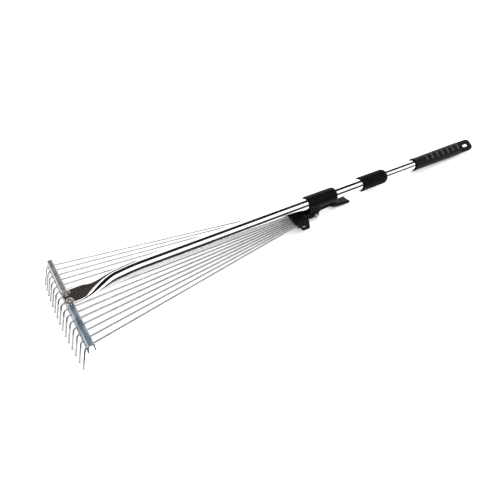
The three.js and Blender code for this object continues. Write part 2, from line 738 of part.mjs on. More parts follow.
// Side view of the cam lever: a round cam at the pin, an arm under the sleeve, a drooping paddle.
function leverSide() {
  const { x, z } = LEVER_PIN;
  const side = new THREE.Shape();
  side.moveTo(x, z - CAM_R);
  side.lineTo(LEVER_NECK_X, LEVER_NECK_Z);
  side.lineTo(LEVER_NOTCH_X, LEVER_NOTCH_Z);
  side.quadraticCurveTo(LEVER_NOTCH_X + 8, LEVER_NOTCH_Z - 2.4, PADDLE_START_X, PADDLE_FOOT_Z);
  side.lineTo(LEVER_TIP_X - 2, PADDLE_TIP_Z);
  side.quadraticCurveTo(LEVER_TIP_X + 0.4, PADDLE_TIP_Z, LEVER_TIP_X, PADDLE_TIP_Z + 2);
  side.quadraticCurveTo(LEVER_TIP_X - 1, LEVER_NOTCH_Z - 0.4, LEVER_TIP_X - 6, LEVER_NOTCH_Z + 0.3);
  side.lineTo(PADDLE_START_X + 2, LEVER_TOP_Z - 1.3);
  side.lineTo(PADDLE_START_X - 4, LEVER_TOP_Z);
  side.lineTo(x + CAM_R + 3.6, LEVER_TOP_Z);
  side.quadraticCurveTo(x + CAM_R + 0.4, LEVER_TOP_Z, x + 3.6, z + CAM_R - 1.2);
  side.quadraticCurveTo(x + 2, z + CAM_R, x, z + CAM_R);
  side.absarc(x, z, CAM_R, Math.PI / 2, 1.5 * Math.PI, false);
  return side;
}

// Plan of the lever: half widths along it, mirrored.
function leverPlan() {
  const r = HOLDER_CORNER_R;
  const edge = [
    [LEVER_PIN.x - CAM_R - OVERSHOOT, LEVER_CAM_HALF_WIDTH, 0],
    [LEVER_PIN.x + 12, LEVER_CAM_HALF_WIDTH, 2],
    [LEVER_NECK_X - 2, LEVER_NECK_HALF_WIDTH, 2],
    [LEVER_NOTCH_X + 2, LEVER_NECK_HALF_WIDTH, r],
    [PADDLE_START_X - 8, PADDLE_HALF_WIDTH, r],
    [LEVER_TIP_X + OVERSHOOT, PADDLE_HALF_WIDTH, r],
  ];
  return roundedOutline([...edge.map(([x, y, radius]) => [x, -y, radius]), ...edge.toReversed()]);
}

function makeLever() {
  const depth = 2 * PADDLE_HALF_WIDTH;
  const bar = new THREE.ExtrudeGeometry(leverSide(), { depth, bevelEnabled: false, curveSegments: 8 });
  bar.rotateX(Math.PI / 2);
  bar.translate(0, PADDLE_HALF_WIDTH, 0);
  const plan = plate(leverPlan(), PADDLE_TIP_Z - OVERSHOOT, CHEEK_TOP_Z, 4);
  const bore = crosswise(LEVER_PIN_R + GAP, LEVER_PIN.x, LEVER_PIN.z, -CHEEK_INNER_Y, CHEEK_INNER_Y);
  const lever = solid(bar).intersect(plan).subtract(bore);
  return piece("clamp_lever", lever, blackPlastic());
}

// Pressure shoe between the cam and the tube, lying in the sleeve's window.
function makeShoe() {
  const base = LEVER_PIN.z + CAM_R + GAP;
  const half = SHOE_HALF_WIDTH;
  const start = WINDOW_START_X + SHOE_PLAY;
  const end = WINDOW_END_X - SHOE_PLAY;
  const tube = poleBore(MAIN_R + GAP, start - OVERSHOOT, end + OVERSHOOT);
  const shoe = block(start, end, -half, half, base, SHOE_TOP_Z).subtract(tube);
  return piece("clamp_shoe", shoe, whitePlastic());
}

// ---- telescope lock --------------------------------------------------------------------------

function makeCollet() {
  const seat = MAIN_END_X + GAP;
  const end = seat + COLLET_REACH;
  let collet = turned(
    [
      [COLLET_START_X, MAIN_R + GAP],
      [COLLET_START_X, COLLET_R],
      [end - COLLET_CHAMFER, COLLET_R],
      [end, COLLET_R - COLLET_CHAMFER_DROP],
      [end, UPPER_R + GAP],
      [seat, UPPER_R + GAP],
      [seat, MAIN_R + GAP],
    ],
    POLE_Z,
    COLLET_SIDES,
  );
  const slitStart = seat + COLLET_SLIT_START;
  const slitEnd = end + OVERSHOOT;
  const half = COLLET_SLIT / 2;
  const reach = COLLET_R + OVERSHOOT;
  const across = block(slitStart, slitEnd, -reach, reach, POLE_Z - half, POLE_Z + half);
  const upDown = block(slitStart, slitEnd, -half, half, POLE_Z - reach, POLE_Z + reach);
  collet = collet.subtract(across).subtract(upDown);
  return piece("lock_collet", collet, whitePlastic());
}

function makeCollar() {
  const chamfer = COLLAR_FRONT_CHAMFER;
  let collar = turned(
    [
      [COLLAR_START_X, MAIN_R + GAP],
      [COLLAR_START_X, COLLAR_R - chamfer],
      [COLLAR_START_X + chamfer, COLLAR_R],
      ...roundOff(COLLAR_END_X - COLLAR_ROUND_LENGTH, COLLAR_R, COLLAR_ROUND_LENGTH, COLLAR_ROUND_DROP),
      [COLLAR_END_X, UPPER_R + GAP],
      [COLLAR_END_X - COLLAR_LIP, UPPER_R + GAP],
      [COLLAR_END_X - COLLAR_LIP, COLLAR_BORE_R],
      [COLLET_START_X - GAP, COLLAR_BORE_R],
      [COLLET_START_X - GAP, MAIN_R + GAP],
    ],
    POLE_Z,
  );
  const fluteMiddleX = (FLUTE_START_X + FLUTE_END_X) / 2;
  for (let i = 0; i < COLLAR_FLUTES; i += 1) {
    const flute = new THREE.BoxGeometry(FLUTE_END_X - FLUTE_START_X, FLUTE_WIDTH, FLUTE_WIDTH);
    flute.rotateX(Math.PI / 4);
    flute.translate(fluteMiddleX, 0, COLLAR_R + FLUTE_LIFT);
    flute.rotateX((2 * Math.PI * i) / COLLAR_FLUTES);
    flute.translate(0, 0, POLE_Z);
    collar = collar.subtract(solid(flute));
  }
  return piece("lock_collar", collar, blackPlastic());
}

function makeUpperTube() {
  const tube = turned(
    [
      [UPPER_START_X, UPPER_BORE_R],
      [UPPER_START_X, UPPER_R],
      [UPPER_END_X, UPPER_R],
      [UPPER_END_X, UPPER_BORE_R],
    ],
    POLE_Z,
  );
  return piece("upper_tube", tube, chrome());
}

function makeUpperBush() {
  const outer = MAIN_BORE_R - BUSH_PLAY;
  const inner = UPPER_BORE_R - GAP;
  const bush = turned(
    [
      [UPPER_START_X - BUSH_LIP, 0],
      [UPPER_START_X - BUSH_LIP, outer - BUSH_CHAMFER],
      [UPPER_START_X - BUSH_LIP + BUSH_CHAMFER, outer],
      [UPPER_START_X - GAP, outer],
      [UPPER_START_X - GAP, inner],
      [UPPER_START_X + BUSH_REACH, inner],
      [UPPER_START_X + BUSH_REACH, 0],
    ],
    POLE_Z,
    BUSH_SIDES,
  );
  return piece("upper_bush", bush, whitePlastic());
}

// ---- grip ------------------------------------------------------------------------------------

const gripRadius = (x) =>
  THREE.MathUtils.mapLinear(x, GRIP_START_X, GRIP_BODY_END_X, GRIP_START_R, GRIP_END_R);

function gripProfile() {
  const roundStart = GRIP_BODY_END_X - GRIP_END_ROUND_X;
  return [
    [GRIP_START_X, 0],
    [GRIP_START_X, GRIP_START_R],
    [GRIP_START_X + GRIP_LIP_RISE_X, GRIP_START_R + GRIP_LIP],
    [GRIP_START_X + GRIP_LIP_END_X, GRIP_START_R + GRIP_LIP],
    [GRIP_START_X + GRIP_LIP_FALL_X, gripRadius(GRIP_START_X + GRIP_LIP_FALL_X)],
    ...roundOff(roundStart, gripRadius(roundStart), GRIP_END_ROUND_X, GRIP_END_ROUND_R),
    [GRIP_BODY_END_X, 0],
  ];
}

// Short cross ribs on the two broad faces of the grip, before its roll.
function gripRibs() {
  let ribs = null;
  for (let i = 0; i < GRIP_RIBS; i += 1) {
    const x = GRIP_FIRST_RIB_X + i * GRIP_RIB_PITCH;
    const start = x - GRIP_RIB_HALF_LENGTH;
    const end = x + GRIP_RIB_HALF_LENGTH;
    const high = gripRadius(x) + GRIP_RIB_HEIGHT;
    const ring = turned([[start, 0], [start, high], [end, high], [end, 0]], POLE_Z, GRIP_SIDES);
    const w = GRIP_RIB_HALF_WIDTH;
    const band = block(start - OVERSHOOT, end + OVERSHOOT, -w, w, POLE_Z - 2 * high, POLE_Z + 2 * high);
    const rib = ring.intersect(band);
    ribs = ribs ? ribs.add(rib) : rib;
  }
  return ribs;
}

// Plan of the tab behind the grip, round at its end.
function tabPlan() {
  const start = GRIP_BODY_END_X - TAB_ROOT;
  const w = TAB_HALF_WIDTH;
  const endR = w - TAB_EDGE_R / 8;
  return roundedOutline([[start, -w, 0], [GRIP_TIP_X, -w, endR], [GRIP_TIP_X, w, endR], [start, w, 0]]);
}

// Side view of the tab: it tapers from the body's thickness to its own.
function tabSide() {
  const shoulder = GRIP_END_R - TAB_SHOULDER;
  const t = TAB_HALF_THICKNESS;
  const upper = [
    [GRIP_TIP_X, t, TAB_EDGE_R],
    [GRIP_BODY_END_X + TAB_TAPER, t, TAB_TAPER_R],
    [GRIP_BODY_END_X, shoulder, TAB_TAPER_R],
    [GRIP_BODY_END_X - TAB_ROOT, shoulder, 0],
  ];
  return roundedOutline([...upper.toReversed().map(([x, z, r]) => [x, -z, r]), ...upper]);
}

function slotOutline() {
  const { x, length, width } = HANG_SLOT;
  const corners = [[-1, -1], [1, -1], [1, 1], [-1, 1]];
  return roundedOutline(corners.map(([i, j]) => [x + (i * length) / 2, (j * width) / 2, SLOT_CORNER_R]));
}

// Turns a solid about the pole's axis.
function rolled(manifold, angle) {
  const geometry = surface(manifold);
  geometry.translate(0, 0, -POLE_Z);
  geometry.rotateX(angle);
  geometry.translate(0, 0, POLE_Z);
  return solid(geometry);
}

function makeGrip() {
  const low = POLE_Z - GRIP_END_R - OVERSHOOT;
  const high = POLE_Z + GRIP_END_R + OVERSHOOT;
  const depth = 2 * GRIP_END_R;
  const side = new THREE.ExtrudeGeometry(tabSide(), { depth, bevelEnabled: false, curveSegments: 5 });
  side.rotateX(Math.PI / 2);
  side.translate(0, GRIP_END_R, POLE_Z);
  const start = GRIP_BODY_END_X - TAB_ROOT;
  const end = GRIP_TIP_X + OVERSHOOT;
  const round = turned([[start, 0], [start, GRIP_END_R], [end, GRIP_END_R], [end, 0]], POLE_Z, GRIP_SIDES);
  const tab = plate(tabPlan(), low, high).intersect(solid(side)).intersect(round);
  const socket = poleBore(UPPER_R + GAP, GRIP_START_X - OVERSHOOT, UPPER_END_X + GAP);
  const body = turned(gripProfile(), POLE_Z, GRIP_SIDES).add(gripRibs()).add(tab);
  const grip = body.subtract(plate(slotOutline(), low, high, 4));
  return piece("grip", rolled(grip, GRIP_ROLL).subtract(socket), blackGrip());
}

// ---- assembly --------------------------------------------------------------------------------

const fan = new THREE.Group();
fan.add(makeCrossbar(), makeMainTube(), ...makeRivets());
fan.add(makeSliderBody(), makeHolderPlate(), ...makeHolderScrews());
fan.add(makeLeverPin(), makeLeverNut(), makeLever(), makeShoe());
fan.add(makeCollet(), makeCollar(), makeUpperTube(), makeUpperBush(), makeGrip());
tineNumbers.forEach((tine) => fan.add(makeTine(tine)));

// The fan's plane tips down towards the grip, so that the hooks and the grip's end share the floor.
const tipX = HOOK_CORNER_X - HOOK_FORWARD;
const gripRestX = GRIP_BODY_END_X - GRIP_END_ROUND_X;
const gripRestZ = POLE_Z - GRIP_END_R;
fan.rotation.y = Math.atan2(gripRestZ + HOOK_DROP + WIRE_R / 3, gripRestX - tipX);

// The origin is under the middle of the rake, on the floor.
const rake = new THREE.Group();
rake.add(fan);
rake.updateMatrixWorld(true);
const bounds = new THREE.Box3().setFromObject(rake, true);
const middle = bounds.getCenter(new THREE.Vector3());
fan.position.set(-middle.x, -middle.y, -bounds.min.z);

export default rake;
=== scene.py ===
import json
import math

import bmesh
import bpy
import numpy as np
from mathutils import Matrix, Vector


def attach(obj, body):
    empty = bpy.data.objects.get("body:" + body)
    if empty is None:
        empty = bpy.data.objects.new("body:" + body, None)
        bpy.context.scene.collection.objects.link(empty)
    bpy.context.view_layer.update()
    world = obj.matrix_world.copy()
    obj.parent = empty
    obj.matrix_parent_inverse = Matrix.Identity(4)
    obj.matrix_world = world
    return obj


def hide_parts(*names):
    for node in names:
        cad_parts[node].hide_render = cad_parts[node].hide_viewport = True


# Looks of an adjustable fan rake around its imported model. Metres, +Z up.
# Pieces are made in the fan's own frame: x runs along the pole from the crossbar towards the grip,
# z = 0 is the plane of the straight wires. to_row() carries them into the frame of the row.

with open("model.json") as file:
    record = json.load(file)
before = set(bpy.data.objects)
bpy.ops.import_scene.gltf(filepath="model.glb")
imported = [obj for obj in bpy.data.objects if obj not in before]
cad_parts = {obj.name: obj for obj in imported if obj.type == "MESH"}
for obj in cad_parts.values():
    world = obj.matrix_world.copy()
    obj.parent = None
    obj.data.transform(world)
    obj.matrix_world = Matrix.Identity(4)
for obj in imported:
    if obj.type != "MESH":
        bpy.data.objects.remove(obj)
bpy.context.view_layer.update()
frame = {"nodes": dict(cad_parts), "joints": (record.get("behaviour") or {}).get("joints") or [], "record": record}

MM = 0.001
joints = {j["name"]: j for j in frame["joints"]}

# ---- driving dimensions, in metres, as in the part's source -------------------------------------

POLE_Z = 15.5 * MM
LOCK_X = 538.5 * MM  # middle of the lock collar along the pole

TINE_COUNT = 15
MIDDLE_TINE = 8
TINE_PITCH = 12.7 * MM
WIRE_R = 1.15 * MM
FAN_APEX_X = 489 * MM
PIVOT_X = 368 * MM
HOOK_CORNER_X = -16 * MM
HOOK_ARC = 3.6 * MM
HOOK_FORWARD = 9.8 * MM
HOOK_DROP = 31.5 * MM
HOOK_BEND_R = 6.3 * MM
PIVOT_BEND_R = 1.6 * MM
PIVOT_PIN_DROP = 3.9 * MM
SLIDER_STROKE = joints["head_slide"]["range_m"][1]
MATCH_FRACTION = 0.78

BAR_HALF_LENGTH = 97 * MM
BAR_BACK_X = -1.6 * MM
BAR_FRONT_X = -9.6 * MM
BAR_TOP_Z = 6.2 * MM
BAR_FOOT_Z = -5.5 * MM
BAR_SPLAY = 2 * MM
BAR_WALL = 1.2 * MM
BAR_EDGE_R = 1.8 * MM
SLOT_SIDE_CLEARANCE = 0.35 * MM
SLOT_TOP_Z = 1.6 * MM
SLOT_BOTTOM_Z = -2.5 * MM

MAIN_R = 10.4 * MM
SKIN_INSET = 0.03 * MM  # keeps the finer skin inside the model it shows
MAIN_BORE_R = 9.7 * MM
MAIN_BORE_START_X = 104 * MM
MAIN_END_X = 556 * MM
FOOT_START_X = -10.5 * MM
FOOT_FLAT_END_X = 5 * MM
FOOT_ROUND_X = 62 * MM
FOOT_RISE_END_X = 100 * MM
FOOT_HALF_WIDTH = 16.4 * MM
FOOT_HALF_THICKNESS = 0.85 * MM
FOOT_EDGE_RISE = 1.8  # how quickly the pad's edges reach its full thickness
PAD_CENTRE_Z = 7.35 * MM
RIVET_X = -5.6 * MM
RIVET_Y = 9.5 * MM
RIVET_HOLE_R = 2.1 * MM
RIVET_SHANK_R = 1.8 * MM
RIVET_HEAD_R = 4.4 * MM
WASHER_R = 5.6 * MM
WASHER_THICKNESS = 0.8 * MM
GAP = 0.3 * MM

UPPER_R = 9.35 * MM
UPPER_BORE_R = 8.65 * MM
UPPER_START_X = 125 * MM
UPPER_END_X = 750 * MM

SLEEVE = {"start": 390 * MM, "end": 449.5 * MM, "r": 13 * MM, "sides": 40}
COLLAR = {
    "start": 510 * MM,
    "end": 567 * MM,
    "r": 13.1 * MM,
    "ribs": 40,
    "lip": 2.1 * MM,
    "bore_r": 11.8 * MM,
}
COLLET_START_X = 529 * MM
GRIP_BODY = {"start": 643 * MM, "end": 758 * MM, "sides": 32}
GRIP_ROLL = math.radians(35)
GRIP_SPAN = (643 * MM, 764 * MM)
GRIP_R = (11.5 * MM, 12.3 * MM)

# ---- frames --------------------------------------------------------------------------------------

along = Vector(joints["pole_extend"]["axis"]).normalized()
across = Vector((0, 1, 0))
upward = along.cross(across)
lock_point = Vector(joints["lock_collar_twist"]["pos_m"])
origin = lock_point - LOCK_X * along - POLE_Z * upward
FAN = Matrix((along, across, upward)).transposed().to_4x4()
FAN.translation = origin
FAN_INVERSE = FAN.inverted()


def to_row(mesh):
    """Carries a mesh from the fan's frame to the row's."""
    mesh.transform(FAN)
    return mesh


# ---- node helpers --------------------------------------------------------------------------------


class Nodes:
    """A material's node tree with short ways to add and join nodes."""

    def __init__(self, name):
        self.material = bpy.data.materials.new(name)
        self.material.use_nodes = True
        self.tree = self.material.node_tree
        self.tree.nodes.clear()
        self.shader = self.add("ShaderNodeBsdfPrincipled")
        output = self.add("ShaderNodeOutputMaterial")
        self.join(self.shader.outputs["BSDF"], output.inputs["Surface"])

    def add(self, kind, **settings):
        node = self.tree.nodes.new(kind)
        for key, value in settings.items():
            setattr(node, key, value)
        return node

    def join(self, output, socket):
        self.tree.links.new(output, socket)

    def fan_coordinates(self, scale=(1, 1, 1)):
        """Object coordinates turned so that X runs along the pole."""
        coordinates = self.add("ShaderNodeTexCoord")
        turn = self.add("ShaderNodeMapping", vector_type="POINT")
        turn.inputs["Rotation"].default_value = FAN_INVERSE.to_euler()
        stretch = self.add("ShaderNodeMapping", vector_type="POINT")
        stretch.inputs["Scale"].default_value = scale
        self.join(coordinates.outputs["Object"], turn.inputs["Vector"])
        self.join(turn.outputs["Vector"], stretch.inputs["Vector"])
        return stretch.outputs["Vector"]

    def fan_place(self):
        """X, Y and Z in the fan's frame, as three values."""
        split = self.add("ShaderNodeSeparateXYZ")
        self.join(self.fan_coordinates(), split.inputs["Vector"])
        shift = FAN_INVERSE.to_3x3() @ FAN.translation
        return [self.math("SUBTRACT", split.outputs[key], shift[i]) for i, key in enumerate("XYZ")]

    def noise(self, vector, scale, detail=3.0, roughness=0.55):
        node = self.add("ShaderNodeTexNoise")
        node.inputs["Scale"].default_value = scale
        node.inputs["Detail"].default_value = detail
        node.inputs["Roughness"].default_value = roughness
        self.join(vector, node.inputs["Vector"])
        return node.outputs["Fac"]

    def cells(self, vector, scale):
        node = self.add("ShaderNodeTexVoronoi", feature="F1")
        node.inputs["Scale"].default_value = scale
        self.join(vector, node.inputs["Vector"])
        return node

    def ramp(self, value, low, high, stops=(0.0, 1.0)):
        """Maps a value to a colour between low and high."""
        node = self.add("ShaderNodeValToRGB")
        node.color_ramp.elements[0].position = stops[0]
        node.color_ramp.elements[1].position = stops[1]
        node.color_ramp.elements[0].color = (*low, 1)
        node.color_ramp.elements[1].color = (*high, 1)
        self.join(value, node.inputs["Fac"])
        return node.outputs["Color"]

    def spread(self, value, low, high, from_low=0.0, from_high=1.0):
        node = self.add("ShaderNodeMapRange")
        node.inputs["From Min"].default_value = from_low
        node.inputs["From Max"].default_value = from_high
        node.inputs["To Min"].default_value = low
        node.inputs["To Max"].default_value = high
        self.join(value, node.inputs["Value"])
        return node.outputs["Result"]

    def mix(self, factor, a, b):
        node = self.add("ShaderNodeMix", data_type="RGBA")
        self.join(factor, node.inputs[0])
        for value, socket in ((a, node.inputs[6]), (b, node.inputs[7])):
            if isinstance(value, tuple):
                socket.default_value = (*value, 1)
            else:
                self.join(value, socket)
        return node.outputs[2]

    def math(self, operation, a, b):
        node = self.add("ShaderNodeMath", operation=operation)
        for value, socket in ((a, node.inputs[0]), (b, node.inputs[1])):
            if isinstance(value, (int, float)):
                socket.default_value = value
            else:
                self.join(value, socket)
        return node.outputs["Value"]

    def bump(self, height, distance, strength=1.0, normal=None):
        node = self.add("ShaderNodeBump")
        node.inputs["Distance"].default_value = distance
        node.inputs["Strength"].default_value = strength
        self.join(height, node.inputs["Height"])
        if normal is not None:
            self.join(normal, node.inputs["Normal"])
        return node.outputs["Normal"]

    def finish(self, color, roughness, normal=None, **fixed):
        """Joins the looks to the shader; fixed holds values that are the same all over."""
        self.join(color, self.shader.inputs["Base Color"])
        self.join(roughness, self.shader.inputs["Roughness"])
        if normal is not None:
            self.join(normal, self.shader.inputs["Normal"])
        for key, value in fixed.items():
            self.shader.inputs[key.replace("_", " ")].default_value = value
        return self.material


# ---- materials -----------------------------------------------------------------------------------


def polished_tube():
    """Polished stainless tube: faint drawing lines along it and soft handling smudges."""
    n = Nodes("polished_tube")
    lines = n.noise(n.fan_coordinates((6, 900, 900)), 1.0, 2.0)
    smudge = n.noise(n.fan_coordinates((1, 1.6, 1.6)), 28.0, 4.0)
    color = n.ramp(smudge, (0.70, 0.69, 0.67), (0.79, 0.785, 0.775), (0.3, 0.7))
    roughness = n.math("ADD", n.spread(lines, 0.0, 0.035), n.spread(smudge, 0.035, 0.085, 0.35, 0.75))
    normal = n.bump(lines, 0.000004, 0.35)
    return n.finish(color, roughness, normal, Metallic=1.0)


def zinc_sheet():
    """Bright zinc plating on folded sheet: pale crystals, clouds and rolling lines, with a painted reflection: the
    near half of the bar is painted a darker, bluish grey and the far half a paler grey.
    """
    n = Nodes("zinc_sheet")
    crystals = n.cells(n.fan_coordinates(), 240.0).outputs["Color"]
    grey = n.add("ShaderNodeSeparateColor")
    n.join(crystals, grey.inputs["Color"])
    cloud = n.noise(n.fan_coordinates((1.5, 1, 1)), 34.0, 4.0)
    rolling = n.noise(n.fan_coordinates((700, 18, 700)), 1.0, 2.0)
    place = n.add("ShaderNodeSeparateXYZ")
    coordinates = n.add("ShaderNodeTexCoord")
    n.join(coordinates.outputs["Object"], place.inputs["Vector"])
    # Painted reflection: the bar is painted darker and bluish (steel) on its near half and paler (pale) on its far
    # half, changing over from y = -4 mm to y = 26 mm.
    painted_far_half = n.spread(place.outputs["Y"], 0.0, 1.0, -0.004, 0.026)
    steel = n.ramp(cloud, (0.13, 0.18, 0.23), (0.34, 0.40, 0.46), (0.36, 0.62))
    pale = n.ramp(cloud, (0.32, 0.34, 0.35), (0.44, 0.455, 0.46), (0.36, 0.62))
    painted_half_tone = n.mix(painted_far_half, steel, pale)
    color = n.mix(n.spread(grey.outputs["Red"], 0.0, 0.18), painted_half_tone, (0.42, 0.46, 0.50))
    roughness = n.math("ADD", n.spread(grey.outputs["Green"], 0.22, 0.34), n.spread(rolling, 0.0, 0.1))
    normal = n.bump(rolling, 0.00002, 0.3)
    return n.finish(color, roughness, normal, Metallic=1.0)


def spring_wire():
    """Plated spring wire: fine drawing lines and patchy plating, with the hook elbows painted dark as a painted
    reflection, and the tips painted near-black and rougher over their lowest few millimetres.
    """
    n = Nodes("spring_wire")
    lines = n.noise(n.fan_coordinates((20, 2600, 2600)), 1.0, 2.0)
    patches = n.noise(n.fan_coordinates((1, 1, 1)), 90.0, 3.0)
    plated = n.ramp(patches, (0.27, 0.27, 0.275), (0.36, 0.36, 0.365), (0.3, 0.7))
    height = n.add("ShaderNodeSeparateXYZ")
    place = n.add("ShaderNodeTexCoord")
    n.join(place.outputs["Object"], height.inputs["Vector"])
    # The wire is painted near-black and made rougher where its height is below 1.2 to 3 mm, at the tips.
    dark_tip = n.spread(height.outputs["Z"], 1.0, 0.0, 0.0012, 0.003)
    x, _, z = n.fan_place()
    # Painted reflection: the hook elbows, from about x = -18 to -13 mm in the fan's frame and above about z = -11
    # mm, are painted dark.
    painted_dark_elbow = n.math("MULTIPLY", n.spread(x, 1.0, 0.0, -0.018, -0.013), n.spread(z, 0.0, 1.0, -0.011, -0.006))
    color = n.mix(dark_tip, n.mix(painted_dark_elbow, plated, (0.06, 0.06, 0.062)), (0.03, 0.03, 0.032))
    roughness = n.math("ADD", n.spread(lines, 0.20, 0.30), n.spread(dark_tip, 0.0, 0.25))
    normal = n.bump(lines, 0.000008, 0.4)
    return n.finish(color, roughness, normal, Metallic=1.0)


def bright_fastener():
    """Nickel plating with fine turning marks."""
    n = Nodes("bright_fastener")
    marks = n.noise(n.fan_coordinates(), 2400.0, 2.0)
    warm = n.noise(n.fan_coordinates(), 260.0, 3.0)
    color = n.ramp(warm, (0.18, 0.165, 0.15), (0.42, 0.40, 0.38), (0.3, 0.7))
    normal = n.bump(marks, 0.000003, 0.15)
    return n.finish(color, n.spread(marks, 0.06, 0.16), normal, Metallic=1.0)


def dark_screw():
    """Black oxide on steel, worn a little on the high grains."""
    n = Nodes("dark_screw")
    grain = n.noise(n.fan_coordinates(), 1500.0, 3.0)
    color = n.ramp(grain, (0.008, 0.008, 0.009), (0.05, 0.05, 0.052), (0.45, 0.8))
    return n.finish(color, n.spread(grain, 0.3, 0.5), n.bump(grain, 0.00002, 0.4), Metallic=0.8)


def moulded(name, dark, light, grain_scale, grain_depth, roughness, gloss):
    """Moulded plastic with an eroded satin grain, faint flow clouds and small scuffs."""
    n = Nodes(name)
    grain = n.noise(n.fan_coordinates(), grain_scale, 4.0, 0.7)
    cloud = n.noise(n.fan_coordinates((0.5, 1, 1)), 60.0, 3.0)
    scuffs = n.noise(n.fan_coordinates((40, 420, 420)), 1.0, 4.0, 0.7)
    scuffed = n.spread(scuffs, 0.0, 1.0, 0.66, 0.78)
    color = n.mix(scuffed, n.ramp(cloud, dark, light, (0.3, 0.75)), tuple(1.8 * c for c in light))
    base = n.spread(cloud, roughness - 0.05, roughness + 0.07, 0.3, 0.7)
    rough = n.math("ADD", base, n.spread(scuffed, 0.0, 0.12))
    return n.finish(color, rough, n.bump(grain, grain_depth, 0.5), Specular_IOR_Level=gloss)


def grip_rubber():
    """Soft black grip: pebbled skin with paler dust in the hollows, and a painted highlight: the tops of the ribs
    are painted paler.
    """
    n = Nodes("grip_rubber")
    pebbles = n.cells(n.fan_coordinates(), 1300.0).outputs["Distance"]
    fine = n.noise(n.fan_coordinates(), 3000.0, 2.0)
    cloud = n.noise(n.fan_coordinates(), 70.0, 3.0)
    color = n.ramp(cloud, (0.002, 0.002, 0.002), (0.005, 0.005, 0.005), (0.3, 0.75))
    dust_and_painted_highlight = n.mix(n.spread(pebbles, 0.0, 0.25, 0.4, 0.9), color, (0.006, 0.006, 0.006))
    # Painted highlight: past the grip's first 12 to 16 mm, the surface is painted paler wherever it stands more
    # than about 0.12 to 0.35 mm above the grip's round body, that is, on the rib tops.
    x, y, z = n.fan_place()
    height = n.math("SUBTRACT", z, POLE_Z)
    squares = n.math("ADD", n.math("MULTIPLY", y, y), n.math("MULTIPLY", height, height))
    above = n.math("SUBTRACT", n.math("POWER", squares, 0.5), n.spread(x, *GRIP_R, *GRIP_SPAN))
    ribbed = n.spread(x, 0.0, 1.0, GRIP_SPAN[0] + 12 * MM, GRIP_SPAN[0] + 16 * MM)
    painted_rib_highlight = n.math("MULTIPLY", ribbed, n.spread(above, 0.0, 1.0, 0.12 * MM, 0.35 * MM))
    dust_and_painted_highlight = n.mix(painted_rib_highlight, dust_and_painted_highlight, (0.04, 0.04, 0.04))
    normal = n.bump(fine, 0.00001, 0.3, n.bump(pebbles, 0.00004, 0.4))
    return n.finish(dust_and_painted_highlight, n.spread(cloud, 0.36, 0.48, 0.3, 0.7), normal, Specular_IOR_Level=0.05)


LOOKS = {
    "chrome_tube": polished_tube(),
    "zinc_sheet": zinc_sheet(),
    "spring_wire": spring_wire(),
    "bright_fastener": bright_fastener(),
    "dark_screw": dark_screw(),
    "black_plastic": moulded(
        "black_plastic", (0.001, 0.001, 0.0013), (0.003, 0.003, 0.0038), 1800.0, 0.00003, 0.34, 0.04
    ),
    "white_plastic": moulded(
        "white_plastic", (0.62, 0.62, 0.58), (0.74, 0.74, 0.70), 1500.0, 0.00002, 0.45, 0.45
    ),
    "grip_rubber": grip_rubber(),
}
SLOTS = {s["node"]: s["material_slot"] for s in frame["record"]["subparts"] if "material_slot" in s}
BODIES = {node: body for body, nodes in frame["record"]["behaviour"]["bodies"].items() for node in nodes}


def dress(obj, slot):
    obj.data.materials.clear()
    obj.data.materials.append(LOOKS[slot])


for node_name, node_object in frame["nodes"].items():
    dress(node_object, SLOTS[node_name])


# ---- mesh helpers --------------------------------------------------------------------------------


def mesh_from(name, vertices, faces):
    mesh = bpy.data.meshes.new(name)
    mesh.from_pydata([tuple(v) for v in vertices], [], faces)
    mesh.validate()
    mesh.update()
    return mesh


def add_piece(name, mesh, node, smooth_angle=35):
    """Shows a mesh made in the row's frame in place of a CAD node, on the node's body."""
    obj = bpy.data.objects.new(name, mesh)
    bpy.context.scene.collection.objects.link(obj)
    for polygon in mesh.polygons:
        polygon.use_smooth = True
    mesh.set_sharp_from_angle(angle=math.radians(smooth_angle))
    dress(obj, SLOTS[node])
    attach(obj, BODIES[node])
    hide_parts(node)
    return obj


def grid_mesh(name, rings):
    """Closed skin over rings of points; each ring goes round once."""
    count = len(rings[0])
    vertices = [p for ring in rings for p in ring]
    faces = []
    for i in range(len(rings) - 1):
        for j in range(count):
            k = (j + 1) % count
            faces.append((i * count + j, i * count + k, (i + 1) * count + k, (i + 1) * count + j))
    faces.append(tuple(range(count))[::-1])
    faces.append(tuple((len(rings) - 1) * count + j for j in range(count)))
    mesh = mesh_from(name, vertices, faces)
    outward(mesh)
    return mesh


def ring_mesh(name, rings):
    """Skin over rings whose last ring joins the first, for a wall round a passage."""
    count = len(rings[0])
    total = len(rings)
    vertices = [p for ring in rings for p in ring]
    faces = []
    for i in range(total):
        n = (i + 1) % total
        for j in range(count):
            k = (j + 1) % count
            faces.append((i * count + j, i * count + k, n * count + k, n * count + j))
    mesh = mesh_from(name, vertices, faces)
    outward(mesh)
    return mesh


def outward(mesh):
    bm = bmesh.new()
    bm.from_mesh(mesh)
    bmesh.ops.recalc_face_normals(bm, faces=bm.faces)
    if bm.calc_volume(signed=True) < 0:
        bmesh.ops.reverse_faces(bm, faces=bm.faces)
    bm.to_mesh(mesh)
    bm.free()


def circle(x, radius, count, centre_z=POLE_Z):
    angles = [2 * math.pi * (j + 0.5) / count for j in range(count)]
    return [(x, radius * math.cos(a), centre_z + radius * math.sin(a)) for a in angles]


def smoothstep(x, low, high):
    t = min(1.0, max(0.0, (x - low) / (high - low)))
    return t * t * (3 - 2 * t)


def mix(a, b, t):
    return a + (b - a) * t


# ---- pole ----------------------------------------------------------------------------------------

TUBE_SIDES = 128


